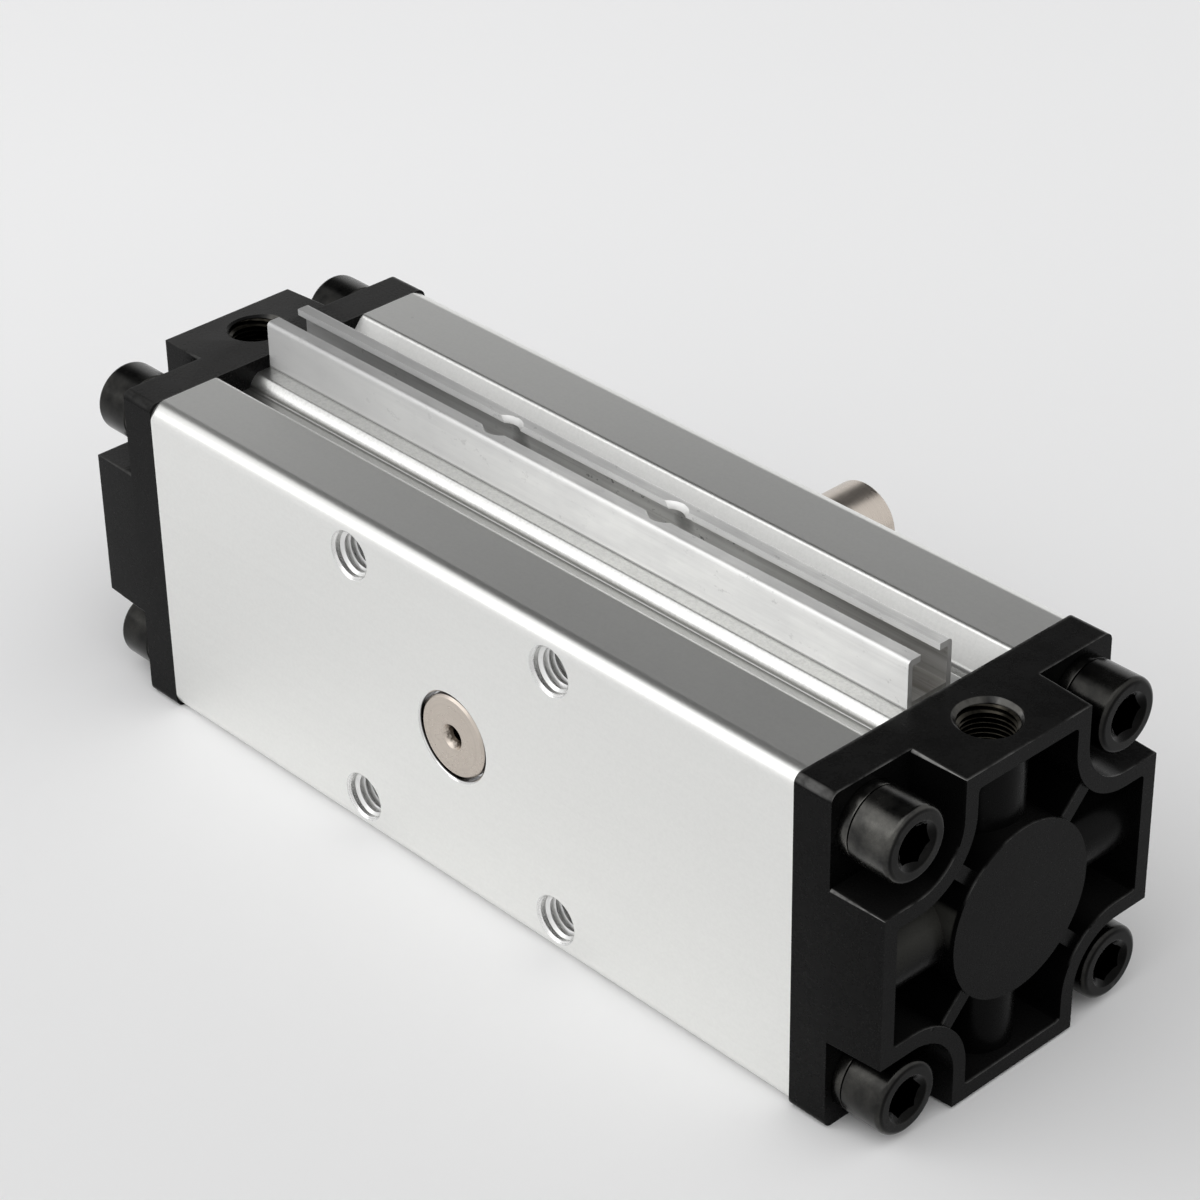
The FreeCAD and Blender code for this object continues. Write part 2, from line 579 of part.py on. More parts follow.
# ---------------------------------------------------------------- bearings
bc, tr, il, ol = S("ball_circle"), S("track_rad"), S("inner_land"), S("outer_land")
bw = S("race_wide")
dip_in = math.sqrt(tr.v ** 2 - (bc.v - il.v) ** 2)
dip_out = math.sqrt(tr.v ** 2 - (ol.v - bc.v) ** 2)
for label, y0 in (("output_bearing", S("output_race_y")), ("tail_bearing", S("tail_race_y"))):
    c = bw / 2
    node(label + "_inner_race", turned(label + "_inner_race", "y", [
        (0, r_s), (bw, r_s), (bw, il), (c + dip_in, il, -tr), (c - dip_in, il), (0, il)], (0, y0, mid_z)))
    node(label + "_outer_race", turned(label + "_outer_race", "y", [
        (0, ol), (c - dip_out, ol, -tr), (c + dip_out, ol), (bw, ol), (bw, ro - 0.02), (0, ro - 0.02)],
        (0, y0, mid_z)))
    count = int(S("ball_count").v)
    centres = [Vector(bc.v * math.cos(2 * math.pi * (k + 0.3) / count), 0,
                      bc.v * math.sin(2 * math.pi * (k + 0.3) / count)) for k in range(count)]
    balls = doc.addObject("Part::Feature", label + "_balls")
    balls.Shape = Part.makeCompound([Part.makeSphere(S("ball_rad").v, p) for p in centres])
    balls.Placement = Placement(Vector(0, (y0 + c).v, mid_z.v), Rotation())
    node(label + "_balls", balls)
    ring = Part.makeCylinder(bc.v + 0.55, 5.0, Vector(0, -2.5, 0), Vector(0, 1, 0)).cut(
        Part.makeCylinder(bc.v - 0.55, 7.0, Vector(0, -3.5, 0), Vector(0, 1, 0)))
    pockets = [Part.makeCylinder(S("ball_rad").v + 0.06, 4.0, p * (1 - 2.0 / bc.v), p) for p in centres]
    cage = doc.addObject("Part::Feature", label + "_cage")
    cage.Shape = ring.cut(pockets)
    cage.Placement = Placement(Vector(0, (y0 + c).v, mid_z.v), Rotation())
    node(label + "_cage", cage)

# ---------------------------------------------------------------- retainer and seal
ft, fr = S("flange_thick"), S("flange_rad")
pr, ph = S("pilot_rad"), S("pilot_tall")
sr2, sw = S("seal_rad"), S("seal_wide")
flange = turned("retainer_blank", "y", [
    (0, sr2), (sw + 0.1, sr2), (sw + 0.1, r_s + 0.3), (ft + ph, r_s + 0.3), (ft + ph, pr - 0.4),
    (ft + ph - 0.4, pr), (ft, pr), (ft, fr), (0, fr)], (0, half - ft, mid_z))
holes, spots = [], []
for k in range(4):
    a = math.radians(45 + 90 * k)
    x, z = S("small_circle") * math.cos(a), mid_z + S("small_circle") * math.sin(a)
    holes.append(rod("retainer_hole_%d" % k, 2.2, ft + 2, x, half - ft - 1, z, "y"))
    holes.append(cone("retainer_sink_%d" % k, 2.2, 4.3, 2.1, x, half - 2.1, z, "y"))
    spots.append(Placement(Vector(x.v, half.v, z.v), Rotation(Vector(0, 1, 0), 25 * k)))
node("bearing_retainer", cut("bearing_retainer", flange, holes))
sink = turned("sunk_screw", "y", [
    (-7.8, 0), (-0.1, 0), (-0.1, 3.9), (-0.25, 3.9), (-2.2, S("small_rad")), (-7.4, S("small_rad")),
    (-7.8, S("small_rad") - 0.4)], (0, 0, 0))
sk = new_sketch(sink, "sunk_hex", "XZ_Plane", 1.6)
draw_loop(sk, hexagon(2.5))
pocket(sink, "sunk_socket", sk, 2)
doc.recompute()
copies("retainer_screws", sink, spots)
node("shaft_seal", turned("shaft_seal", "y", [
    (0, r_s + 1.2), (0.6, r_s + 1.2), (1.2, r_s + 0.5), (1.7, r_s + 0.04), (2.0, r_s + 0.04), (2.5, r_s + 0.7),
    (sw, r_s + 0.7), (sw, sr2 - 0.02), (0, sr2 - 0.02)], (0, half - ft, mid_z)))

# ---------------------------------------------------------------- rack
# Toothed bar below the pinion. Its ends sit in the pistons.
line_z = mid_z - (S("gear_module") * S("gear_teeth") / 2 + S("gear_module") * S("gear_shift"))
top_z = line_z + S("gear_module") * 0.96
low_z = line_z - S("gear_module") * 1.25
rh, reach, low = S("rack_half"), S("rack_reach"), S("rack_low")
bar = new_body("rack_bar")
sk = new_sketch(bar, "rack_outline", "XZ_Plane", -rh)
draw_loop(sk, [(-reach, low), (reach, low), (reach, top_z), (-reach, top_z)])
pad(bar, "rack_width", sk, rh * 2)
sk = new_sketch(bar, "rack_gap", "XZ_Plane", -rh - 1)
step = S("gear_module") * math.pi
gap = (step / 2 + S("tooth_slack")) / 2
slope = math.tan(math.radians(20))
spaces = 13
x_c = step * (-(spaces - 1) / 2.0)
gap_top = gap + (S("gear_module") + 0.5) * slope
gap_low = gap - S("gear_module") * 1.25 * slope
draw_loop(sk, [(x_c - gap_low, low_z), (x_c + gap_low, low_z), (x_c + gap_top, top_z + 0.5),
               (x_c - gap_top, top_z + 0.5)])
first = pocket(bar, "rack_space", sk, rh * 2 + 2)
first.Reversed = True
doc.recompute()
row = bar.newObject("PartDesign::LinearPattern", "rack_spaces")
row.Originals = [first]
row.Direction = (sk, ["H_Axis"])
bind(row, "Length", step * (spaces - 1))
row.Occurrences = spaces
bar.Tip = row
doc.recompute()
jr, jz = S("join_rad"), S("join_height")
rack_cuts = [box("slider_seat", 40.1, 12.1, 1.55, -20.05, -6.05, low)]
for s_, turn in ((1, "-x"), (-1, "x")):
    rack_cuts.append(rod("rack_tap_%d" % (s_ + 1), 2.5, 13, reach * s_, 0, jz, turn))
node("rack", cut("rack", bar, rack_cuts))
node("rack_slider", common("rack_slider", [
    box("slider_block", 40, 12, 6, -20, -6, low - 4.5),
    rod("slider_curve", S("slider_rad"), 44, -22, 0, mid_z, "x")]))

# ---------------------------------------------------------------- pistons
pf, pw, prd = S("piston_face"), S("piston_wide"), S("piston_rad")
for label, s_ in (("right", 1), ("left", -1)):
    def at(x):
        return (pf - x) * s_
    outline = [(at(pw), 0), (at(0), 0), (at(0), prd - 0.6), (at(0.6), prd), (at(1.2), prd), (at(1.2), 23.6),
               (at(3.8), 23.6), (at(3.8), prd), (at(5.0), prd), (at(5.0), 22.3), (at(8.3), 22.3), (at(8.3), prd),
               (at(9.7), prd), (at(9.7), 20.9), (at(13.3), 20.9), (at(13.3), prd), (at(pw - 0.6), prd),
               (at(pw), prd - 0.6)]
    blank = turned("piston_blank_" + label, "x", outline, (0, 0, mid_z))
    inner = at(pw)
    takes = [box("rack_socket_" + label, 4.05, rh * 2 + 0.1, top_z - low + 0.1,
                 inner if s_ > 0 else inner - 4.05, -rh - 0.05, low - 0.05),
             rod("join_hole_" + label, 2.75, 20, at(19) if s_ > 0 else at(-1), 0, jz, "x"),
             rod("join_sink_" + label, 4.5, 5.5, at(5.5) if s_ > 0 else at(0), 0, jz, "x")]
    node("piston_" + label, cut("piston_" + label, blank, takes))

    def ring_piece(name, a, b, r0, r1):
        lo, hi = (at(b), at(a)) if s_ > 0 else (at(a), at(b))
        return turned(name, "x", [(lo, r0), (hi, r0), (hi, r1), (lo, r1)], (0, 0, mid_z))
    whole = ring_piece("wear_band_" + label, 1.25, 3.75, 23.65, S("ring_rad"))
    node("wear_ring_" + label, cut("wear_ring_" + label, whole, [
        box("wear_gap_" + label, 6, 1.0, 4, (at(2.5) - 3), -0.5, mid_z + 22.5)]))
    seal_r = S("ring_rad")
    u0, u1 = (at(8.25), at(5.05)) if s_ > 0 else (at(5.05), at(8.25))
    node("piston_seal_" + label, turned("piston_seal_" + label, "x", [
        (u0, 22.35), (u1, 22.35), (u1, seal_r - 0.5), (u1 - 0.7, seal_r), (u1 - 1.2, seal_r), (u1 - 1.6, seal_r - 0.7),
        (u0 + 1.2, seal_r), (u0 + 0.7, seal_r), (u0, seal_r - 0.5)], (0, 0, mid_z)))
    node("piston_magnet_" + label, ring_piece("piston_magnet_" + label, 9.75, 13.25, 20.95, 24.5))
bolt = turned("join_screw", "x", [
    (-18, 0), (5, 0), (5, 3.75), (4.5, 4.25), (0, 4.25), (0, jr), (-17.5, jr), (-18, jr - 0.5)], (0, 0, 0))
sk = new_sketch(bolt, "join_hex", "YZ_Plane", 5)
draw_loop(sk, hexagon(4))
pocket(bolt, "join_socket", sk, 2.6)
doc.recompute()
copies("connecting_screws", bolt, [
    Placement(Vector((pf - 5.5).v, 0, jz.v), Rotation()),
    Placement(Vector(-(pf - 5.5).v, 0, jz.v), Rotation(Vector(0, 0, 1), 180))])

# ---------------------------------------------------------------- write
doc.recompute()
bad = [o.Name for o in doc.Objects if "Invalid" in o.State or "Error" in o.State]
if bad:
    raise RuntimeError("failed objects: " + ", ".join(bad))
for label, obj in nodes.items():
    obj.Label = label
    shape = obj.Shape
    if shape.isNull() or not shape.isValid() or not shape.Solids:
        raise RuntimeError("bad shape: " + label)
os.makedirs("parts", exist_ok=True)
for label, obj in nodes.items():
    obj.Shape.exportStep(os.path.join("parts", label + ".step"))
    b = obj.Shape.BoundBox
    print("%-28s solids %2d  vol %10.1f  x %.2f..%.2f  y %.2f..%.2f  z %.2f..%.2f" % (
        label, len(obj.Shape.Solids), obj.Shape.Volume, b.XMin, b.XMax, b.YMin, b.YMax, b.ZMin, b.ZMax))
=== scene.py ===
import bpy
import bmesh
import math
import json
from mathutils import Vector, Matrix


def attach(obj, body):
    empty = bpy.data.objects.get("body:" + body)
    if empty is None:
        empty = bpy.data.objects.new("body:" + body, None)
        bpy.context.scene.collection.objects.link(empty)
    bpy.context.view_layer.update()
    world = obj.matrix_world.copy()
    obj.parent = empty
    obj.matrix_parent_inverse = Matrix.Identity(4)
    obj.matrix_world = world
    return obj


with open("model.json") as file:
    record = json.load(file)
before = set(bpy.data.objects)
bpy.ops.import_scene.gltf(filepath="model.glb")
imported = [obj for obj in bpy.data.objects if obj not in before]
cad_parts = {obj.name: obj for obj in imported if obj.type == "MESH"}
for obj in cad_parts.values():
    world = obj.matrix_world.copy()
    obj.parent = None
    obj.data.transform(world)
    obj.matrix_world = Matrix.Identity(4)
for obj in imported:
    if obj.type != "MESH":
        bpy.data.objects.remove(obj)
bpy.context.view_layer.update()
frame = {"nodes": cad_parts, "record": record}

scene = bpy.context.scene
scene.view_settings.view_transform = "Standard"
MM = 0.001

# ------------------------------------------------------------------ camera
# the photograph's viewing angle
AZ, EL, ROLL = math.radians(47.342), math.radians(32.305), math.radians(-1.071)
back = Vector((math.sin(AZ) * math.cos(EL), -math.cos(AZ) * math.cos(EL), math.sin(EL)))
right = Vector((math.cos(AZ), math.sin(AZ), 0.0))
up = back.cross(right)
r2 = right * math.cos(ROLL) + up * math.sin(ROLL)
u2 = -right * math.sin(ROLL) + up * math.cos(ROLL)
cam_data = bpy.data.cameras.new("camera")
cam = bpy.data.objects.new("camera", cam_data)
scene.collection.objects.link(cam)
cam_data.sensor_width = 36.0
cam_data.lens = 3566.43 / 1200.0 * 36.0
cam_data.clip_start = 0.01
cam_data.clip_end = 20.0
m = Matrix((r2, u2, back)).transposed().to_4x4()
m.translation = Vector((-0.013437, 0.014575, 0.031)) + back * 0.611679
cam.matrix_world = m
scene.camera = cam


# ------------------------------------------------------------------ node helpers
class Graph:
    """Builds a node material: a principled shader and the textures that feed it."""

    def __init__(self, name, **consts):
        self.mat = bpy.data.materials.new(name)
        self.mat.use_nodes = True
        self.nt = self.mat.node_tree
        self.nt.nodes.clear()
        self.out = self.nt.nodes.new("ShaderNodeOutputMaterial")
        self.bsdf = self.nt.nodes.new("ShaderNodeBsdfPrincipled")
        self.nt.links.new(self.bsdf.outputs[0], self.out.inputs[0])
        for k, v in consts.items():
            key = {"color": "Base Color", "metal": "Metallic", "rough": "Roughness", "spec": "Specular IOR Level",
                   "ior": "IOR", "coat": "Coat Weight", "coat_rough": "Coat Roughness",
                   "aniso": "Anisotropic"}[k]
            self.bsdf.inputs[key].default_value = (*v, 1.0) if k == "color" else v
        self.coord = self.nt.nodes.new("ShaderNodeTexCoord").outputs["Object"]

    def node(self, kind, **props):
        n = self.nt.nodes.new(kind)
        for k, v in props.items():
            setattr(n, k, v)
        return n

    def link(self, a, b):
        self.nt.links.new(a, b)
        return b

    def put(self, socket, value):
        if hasattr(value, "is_output"):
            self.nt.links.new(value, socket)
        else:
            socket.default_value = value

    def math(self, op, a, b=None, c=None, clamp=False):
        n = self.node("ShaderNodeMath", operation=op, use_clamp=clamp)
        for i, v in enumerate((a, b, c)):
            if v is not None:
                self.put(n.inputs[i], v)
        return n.outputs[0]

    def mapped(self, scale, offset=(0, 0, 0), turn=(0, 0, 0), source=None):
        n = self.node("ShaderNodeMapping")
        self.put(n.inputs["Vector"], source or self.coord)
        n.inputs["Scale"].default_value = scale
        n.inputs["Location"].default_value = offset
        n.inputs["Rotation"].default_value = turn
        return n.outputs[0]

    def noise(self, vector, scale=1.0, detail=3.0, rough=0.5, distort=0.0):
        n = self.node("ShaderNodeTexNoise")
        self.put(n.inputs["Vector"], vector)
        n.inputs["Scale"].default_value = scale
        n.inputs["Detail"].default_value = detail
        n.inputs["Roughness"].default_value = rough
        n.inputs["Distortion"].default_value = distort
        return n.outputs[0]

    def cells(self, vector, scale=1.0, feature="F1", randomness=1.0):
        n = self.node("ShaderNodeTexVoronoi", feature=feature)
        self.put(n.inputs["Vector"], vector)
        n.inputs["Scale"].default_value = scale
        n.inputs["Randomness"].default_value = randomness
        return n

    def span(self, value, a, b, lo, hi, smooth=False):
        n = self.node("ShaderNodeMapRange", clamp=True)
        if smooth:
            n.interpolation_type = "SMOOTHSTEP"
        self.put(n.inputs[0], value)
        for i, v in enumerate((a, b, lo, hi), start=1):
            n.inputs[i].default_value = v
        return n.outputs[0]

    def ramp(self, value, stops):
        n = self.node("ShaderNodeValToRGB")
        self.put(n.inputs[0], value)
        e = n.color_ramp.elements
        while len(e) < len(stops):
            e.new(0.5)
        for el, (p, c) in zip(e, stops):
            el.position = p
            el.color = (*c, 1.0)
        return n.outputs[0]

    def blend(self, factor, a, b, mode="MIX"):
        n = self.node("ShaderNodeMix", data_type="RGBA", blend_type=mode)
        self.put(n.inputs[0], factor)
        self.put(n.inputs[6], a if hasattr(a, "is_output") else (*a, 1.0))
        self.put(n.inputs[7], b if hasattr(b, "is_output") else (*b, 1.0))
        return n.outputs[2]

    def bump(self, height, strength, distance, normal=None):
        n = self.node("ShaderNodeBump")
        n.inputs["Strength"].default_value = strength
        n.inputs["Distance"].default_value = distance
        self.put(n.inputs["Height"], height)
        if normal is not None:
            self.put(n.inputs["Normal"], normal)
        return n.outputs[0]

    def edges(self, reach, low=0.06, high=0.42):
        """1 along convex edges, 0 on the flats, from how near the far side of the skin is."""
        n = self.node("ShaderNodeAmbientOcclusion", samples=8, inside=True, only_local=True)
        n.inputs["Distance"].default_value = reach
        return self.span(self.math("SUBTRACT", 1.0, n.outputs["AO"]), low, high, 0.0, 1.0)

    def axes(self):
        n = self.node("ShaderNodeSeparateXYZ")
        self.link(self.coord, n.inputs[0])
        return n.outputs[0], n.outputs[1], n.outputs[2]

    def distance(self, a, a0, b, b0):
        """Distance in the plane of two coordinates from the point (a0, b0)."""
        da = self.math("SUBTRACT", a, a0)
        db = self.math("SUBTRACT", b, b0)
        return self.math("SQRT", self.math("ADD", self.math("MULTIPLY", da, da), self.math("MULTIPLY", db, db)))

    def done(self, color=None, rough=None, normal=None, metal=None):
        for key, v in (("Base Color", color), ("Roughness", rough), ("Normal", normal), ("Metallic", metal)):
            if v is not None:
                self.link(v, self.bsdf.inputs[key])
        return self.mat


# ------------------------------------------------------------------ materials
def satin_aluminium():
    """Clear anodised extrusion: even satin grain, barely visible die lines along X,
    a few tiny marks, and bright cut metal in the holes."""
    g = Graph("satin_aluminium", metal=1.0)
    x, y, z = g.axes()
    broad = g.noise(g.mapped((7, 16, 16)), detail=3)
    lines = g.noise(g.mapped((6, 1500, 1500)), detail=2, rough=0.6)
    grain = g.noise(g.mapped((2600, 2600, 2600)), detail=2)
    col = g.ramp(broad, [(0.3, (0.884, 0.886, 0.866)), (0.7, (0.912, 0.914, 0.893))])
    col = g.blend(g.span(lines, 0.40, 0.75, 0.0, 0.05), col, (0.66, 0.66, 0.66))
    speckle = g.noise(g.mapped((1500, 1500, 1500), offset=(2.1, 0.3, 0.8)), detail=3, rough=0.75)
    col = g.blend(g.span(speckle, 0.36, 0.66, 0.0, 0.11), col, (0.62, 0.62, 0.61))
    # sparse tiny marks left by handling
    cell = g.cells(g.mapped((1, 1, 1)), scale=70)
    dot = g.span(cell.outputs["Distance"], 0.012, 0.026, 1.0, 0.0)
    rare = g.span(g.noise(g.mapped((1, 1, 1), offset=(3.1, 0.4, 1.7)), scale=55, detail=1), 0.56, 0.60, 0.0, 1.0)
    mark = g.math("MULTIPLY", dot, rare)
    col = g.blend(g.math("MULTIPLY", mark, 0.45), col, (0.45, 0.45, 0.44))
    # cut metal in the mounting holes and round the shaft tail
    hole = g.distance(g.math("ABSOLUTE", x), 24 * MM,
                      g.math("ABSOLUTE", g.math("SUBTRACT", z, 31 * MM)), 24 * MM)
    tapped = g.math("MULTIPLY", g.span(hole, 4.54 * MM, 4.47 * MM, 0.0, 1.0),
                    g.span(g.math("ABSOLUTE", y), 17.5 * MM, 18.0 * MM, 0.0, 1.0))
    tail = g.span(g.distance(x, 0.0, z, 31 * MM), 8.4 * MM, 8.3 * MM, 0.0, 1.0)
    cut = g.math("MAXIMUM", tapped, tail)
    turning = g.noise(g.mapped((40, 5200, 40)), detail=1)
    col = g.blend(cut, col, g.ramp(turning, [(0.3, (0.60, 0.60, 0.595)), (0.7, (0.86, 0.86, 0.85))]))
    rough = g.math("ADD", g.span(grain, 0.3, 0.7, 0.30, 0.345), g.span(broad, 0.3, 0.7, -0.01, 0.02))
    # painted shade in the bore round the shaft tail, nearly black
    hole_shade = g.span(g.distance(x, 0.0, z, 31 * MM), 8.12 * MM, 8.04 * MM, 0.0, 0.93)
    col = g.blend(hole_shade, col, (0.045, 0.042, 0.039))
    # painted shade in the gutters, darkest along the foot of the rail seat
    ay = g.math("ABSOLUTE", y)
    low = g.math("MULTIPLY", g.span(z, 58.1 * MM, 57.7 * MM, 0.0, 1.0), g.span(z, 57.0 * MM, 57.1 * MM, 0.0, 1.0))
    foot_shade = g.math("MULTIPLY", g.span(ay, 9.2 * MM, 9.35 * MM, 0.0, 1.0), g.span(ay, 9.95 * MM, 10.4 * MM, 1.0, 0.0))
    gutter_shade = g.math("MULTIPLY", low, g.math("MAXIMUM", g.math("MULTIPLY", foot_shade, 0.66),
                                          g.math("MULTIPLY", g.span(ay, 9.2 * MM, 9.6 * MM, 0.0, 1.0), 0.30)))
    gutter_shade = g.math("MULTIPLY", gutter_shade, g.math("MULTIPLY", g.span(ay, 16.6 * MM, 16.0 * MM, 0.0, 1.0),
                                           g.span(lines, 0.3, 0.7, 0.8, 1.1)))
    col = g.blend(gutter_shade, col, (0.16, 0.158, 0.150))
    # frosted grain inside the groove
    groove = g.math("MULTIPLY", g.span(ay, 16.9 * MM, 16.6 * MM, 0.0, 1.0), g.span(z, 56.8 * MM, 57.1 * MM, 0.0, 1.0))
    frost = g.noise(g.mapped((1700, 1700, 1700), offset=(0.5, 0.9, 0.1)), detail=3, rough=0.7)
    col = g.blend(g.math("MULTIPLY", groove, g.span(frost, 0.40, 0.66, 0.0, 0.34)), col, (0.50, 0.50, 0.495))
    # the sloping groove walls are left duller than the outside
    wall = g.math("MULTIPLY", g.math("MULTIPLY", g.span(ay, 12.6 * MM, 13.0 * MM, 0.0, 1.0), g.span(ay, 16.25 * MM, 16.0 * MM, 0.0, 1.0)),
                  g.math("MULTIPLY", g.span(z, 61.75 * MM, 61.55 * MM, 0.0, 1.0), g.span(z, 57.2 * MM, 57.6 * MM, 0.0, 1.0)))
    col = g.blend(g.math("MULTIPLY", wall, g.span(lines, 0.3, 0.7, 0.62, 0.74)), col, (0.66, 0.66, 0.65))
    metal = g.span(wall, 0.0, 1.0, 1.0, 0.22)
    rough = g.math("SUBTRACT", rough, g.math("SUBTRACT", g.math("MULTIPLY", cut, 0.18), g.math("MULTIPLY", tapped, 0.12)))
    rough = g.math("ADD", rough, g.math("MULTIPLY", wall, 0.25))
    # painted shade on the rail seat beside the rail
    seat_shade = g.math("MULTIPLY", g.span(ay, 7.6 * MM, 7.4 * MM, 0.0, 0.14),
                  g.math("MULTIPLY", g.span(z, 59.3 * MM, 59.5 * MM, 0.0, 1.0), g.span(z, 59.8 * MM, 59.7 * MM, 0.0, 1.0)))
    col = g.blend(seat_shade, col, (0.40, 0.40, 0.395))
    n = g.bump(grain, 0.06, 0.015 * MM)
    n = g.bump(lines, 0.03, 0.02 * MM, n)
    n = g.bump(mark, 0.4, -0.04 * MM, n)
    return g.done(col, rough, n, metal)


def black_casting():
    """Black coated die casting: glossy jet black over a slight orange peel, the
    coat rubbed to grey along the edges with painted highlights, a painted sheen on the tops, a few pin holes."""
    g = Graph("black_casting", spec=0.065)
    broad = g.noise(g.mapped((60, 60, 60)), detail=4)
    skin = g.noise(g.mapped((1500, 1500, 1500)), detail=3, rough=0.55)
    peel = g.noise(g.mapped((320, 320, 320)), detail=2)
    col = g.ramp(broad, [(0.3, (0.0012, 0.0012, 0.0012)), (0.75, (0.0030, 0.0030, 0.0030))])
    edge = g.edges(0.60 * MM)
    bright_edges = g.math("MULTIPLY", edge, g.span(g.noise(g.mapped((150, 150, 150), offset=(1.3, 0.2, 2.6)), detail=5, rough=0.65),
                                           0.38, 0.58, 0.12, 1.0))
    geo = g.node("ShaderNodeNewGeometry")
    sep = g.node("ShaderNodeSeparateXYZ")
    g.link(geo.outputs["Normal"], sep.inputs[0])
    # the lightened edges are kept mostly where they face up: edge wear together with a painted highlight
    bright_edges = g.math("MULTIPLY", bright_edges, g.span(sep.outputs[2], 0.45, 0.66, 0.02, 1.0))
    # a dust film and painted sheen on what faces up, strongest on the left cover
    dust_and_sheen = g.math("MULTIPLY", g.span(sep.outputs[2], 0.85, 0.97, 0.0, 1.0), g.span(broad, 0.3, 0.7, 0.75, 1.25))
    col = g.blend(g.math("MULTIPLY", dust_and_sheen, g.span(g.axes()[0], -70 * MM, 70 * MM, 0.018, 0.004)), col, (0.95, 0.94, 0.92))
    level = g.span(g.math("ABSOLUTE", sep.outputs[0]), 0.30, 0.62, 1.0, 0.0)
    bright_edges = g.math("MULTIPLY", bright_edges, g.span(level, 0.0, 1.0, 0.035, 1.0))
    x, y, z = g.axes()
    ax = g.math("ABSOLUTE", x)
    away = g.distance(ax, 86.3 * MM, y, 0.0)
    bright_edges = g.math("MULTIPLY", bright_edges, g.span(away, 6.1 * MM, 6.6 * MM, 0.10, 1.0))
    # painted highlight along the rounded long edges: bright on the arms, patchy on the plate
    lean = g.math("MULTIPLY", g.math("ADD", g.math("ABSOLUTE", sep.outputs[1]), sep.outputs[2]), 0.7071)
    reach = g.math("MAXIMUM", g.math("ABSOLUTE", y), g.math("ABSOLUTE", g.math("SUBTRACT", z, 31 * MM)))
    ridge_highlight = g.math("MULTIPLY", g.span(lean, 0.82, 0.95, 0.0, 1.0), g.math("MULTIPLY", level, g.span(reach, 29.3 * MM, 29.6 * MM, 0.0, 1.0)))
    patch = g.noise(g.mapped((260, 420, 420), offset=(0.8, 2.2, 0.5)), detail=4, rough=0.6)
    ridge_highlight = g.math("MULTIPLY", ridge_highlight, g.math("MULTIPLY", g.span(ax, 83.8 * MM, 84.1 * MM, 0.15, 0.34),
                                             g.span(patch, 0.36, 0.56, 0.30, 1.0)))
    bright_edges = g.math("MAXIMUM", g.math("MULTIPLY", bright_edges, 0.14), ridge_highlight)
    # the edge wear and painted highlights are fainter on the left cover
    bright_edges = g.math("MULTIPLY", bright_edges, g.span(x, -80 * MM, 80 * MM, 0.22, 1.0))
    col = g.blend(bright_edges, col, (0.66, 0.655, 0.640))
    # painted highlight on the round boss in the front pocket of the right cover
    boss_highlight = g.math("MULTIPLY", g.math("MULTIPLY", g.span(y, -27.4 * MM, -27.0 * MM, 0.0, 1.0), g.span(y, -14.0 * MM, -13.6 * MM, 1.0, 0.0)),
                    g.math("MULTIPLY", g.span(ax, 93.5 * MM, 93.8 * MM, 1.0, 0.0), g.span(x, 0.0, 1 * MM, 0.0, 1.0)))
    boss_highlight = g.math("MULTIPLY", boss_highlight, g.math("MULTIPLY", g.span(g.math("ABSOLUTE", g.math("SUBTRACT", z, 37.4 * MM)), 2.8 * MM, 6.6 * MM, 1.0, 0.0),
                                               g.span(broad, 0.3, 0.7, 0.030, 0.044)))
    col = g.blend(boss_highlight, col, (0.95, 0.94, 0.84))
    # the cut chamfer of the port: bare metal, made lighter as painted highlights on its inner and back sides
    glint_sides = g.math("MAXIMUM", g.span(g.math("DIVIDE", g.math("SUBTRACT", 86.3 * MM, ax), away), 0.66, 0.84, 0.0, 0.62),
                  g.span(g.math("DIVIDE", y, away), 0.86, 0.95, 0.0, 1.0))
    port = g.math("MULTIPLY", g.span(away, 5.62 * MM, 5.50 * MM, 0.0, 1.0), g.span(z, 60.9 * MM, 61.3 * MM, 0.0, 1.0))
    port = g.math("MULTIPLY", port, g.math("MULTIPLY", glint_sides, g.span(patch, 0.36, 0.58, 0.55, 1.0)))
    col = g.blend(port, col, (0.12, 0.117, 0.108))
    cell = g.cells(g.mapped((1, 1, 1)), scale=230)
    pin = g.math("MULTIPLY", g.span(cell.outputs["Distance"], 0.06, 0.10, 1.0, 0.0),
                 g.span(g.noise(g.mapped((1, 1, 1)), scale=130, detail=1), 0.62, 0.66, 0.0, 1.0))
    rough = g.math("ADD", g.span(peel, 0.3, 0.7, 0.24, 0.31), g.span(skin, 0.3, 0.7, -0.03, 0.04))
    n = g.bump(skin, 0.16, 0.03 * MM)
    n = g.bump(peel, 0.20, 0.05 * MM, n)
    n = g.bump(pin, 0.6, -0.08 * MM, n)
    return g.done(col, rough, n)


